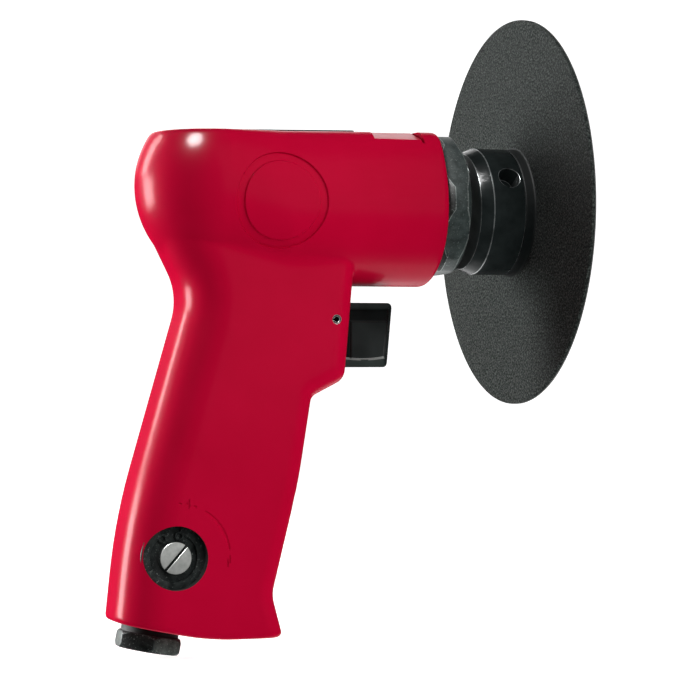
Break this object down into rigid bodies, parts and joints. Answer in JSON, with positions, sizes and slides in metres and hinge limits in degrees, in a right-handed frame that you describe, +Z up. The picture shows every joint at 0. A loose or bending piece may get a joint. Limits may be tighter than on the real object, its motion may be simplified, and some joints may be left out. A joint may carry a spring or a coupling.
{
  "type": "pneumatic disc sander",
  "caption": "Pistol-grip air sander: cast housing with a vane motor, clamp nut, hub and thin round pad, finger trigger with valve, speed regulator and air inlet.",
  "frame": {"origin": "spindle axis at the working face of the pad", "axes": "+X forward out of the pad along the spindle, +Z up away from the grip, +Y to the left side, so the regulator is on the -Y side"},
  "size_m": [0.1382, 0.127, 0.2057],
  "materials": {
    "red_paint": "gloss",
    "label_black": "satin",
    "nut_steel": "phosphated",
    "black_steel": "black oxide, gloss",
    "pad_fibre": "fine grain",
    "facing_vinyl": "smooth",
    "trigger_black": "satin",
    "bare_steel": "machined",
    "bearing_steel": "polished",
    "rotor_steel": "ground",
    "cast_liner": "ground",
    "vane_resin": "matte",
    "brass": "machined",
    "seal_rubber": "matte",
    "felt": "felted",
    "gasket_fibre": "matte",
    "alloy": "as cast"
  },
  "bodies": {
    "tool_body": {"housing": "red_paint", "top_plate": "label_black", "clamp_nut": "nut_steel", "spindle_seal": "felt", "motor_cylinder": "cast_liner", "front_end_plate": "cast_liner", "rear_end_plate": "cast_liner", "cylinder_dowels": "bare_steel", "rear_gasket": "gasket_fibre", "trigger_pin": "bare_steel", "valve_bushing": "brass", "valve_stem_o_ring": "seal_rubber", "valve_spring": "bare_steel", "regulator_retaining_ring": "black_steel", "inlet_bushing": "black_steel", "inlet_screen": "brass", "inlet_seal": "seal_rubber", "exhaust_deflector": "alloy", "silencer_felt": "felt", "front_bearing_outer_race": "bearing_steel", "rear_bearing_outer_race": "bearing_steel"},
    "spindle": {"rotor": "rotor_steel", "rotor_vanes": "vane_resin", "spindle_spacer": "bare_steel", "pad_hub": "black_steel", "backing_pad": "pad_fibre", "pad_facing": "facing_vinyl", "front_bearing_inner_race": "bearing_steel", "rear_bearing_inner_race": "bearing_steel"},
    "front_ball_set": {"front_bearing_balls": "bearing_steel", "front_bearing_cage": "brass"},
    "rear_ball_set": {"rear_bearing_balls": "bearing_steel", "rear_bearing_cage": "brass"},
    "trigger": {"trigger": "trigger_black", "valve_stem": "bare_steel", "valve_seal": "seal_rubber"},
    "regulator": {"regulator_stem": "bare_steel", "regulator_o_ring": "seal_rubber"}
  },
  "joints": [
    {"name": "spindle_spin", "type": "hinge", "parent": "tool_body", "child": "spindle", "pos_m": [0, 0, 0], "axis": [1, 0, 0], "continuous": true},
    {"name": "front_cage_spin", "type": "hinge", "parent": "tool_body", "child": "front_ball_set", "pos_m": [0, 0, 0], "axis": [1, 0, 0], "continuous": true},
    {"name": "rear_cage_spin", "type": "hinge", "parent": "tool_body", "child": "rear_ball_set", "pos_m": [0, 0, 0], "axis": [1, 0, 0], "continuous": true},
    {"name": "trigger_slide", "type": "slide", "parent": "tool_body", "child": "trigger", "axis": [-1, 0, 0], "range_m": [0, 0.004], "stiffness_N_per_m": 1500, "springref_m": -0.004, "deforming": ["valve_spring"]},
    {"name": "regulator_turn", "type": "hinge", "parent": "tool_body", "child": "regulator", "pos_m": [-0.12127, 0, -0.11019], "axis": [0, 1, 0], "range_deg": [0, 90]}
  ],
  "couplings": [
    {"joint": "front_cage_spin", "follows": "spindle_spin", "ratio": 0.381},
    {"joint": "rear_cage_spin", "follows": "spindle_spin", "ratio": 0.368}
  ]
}
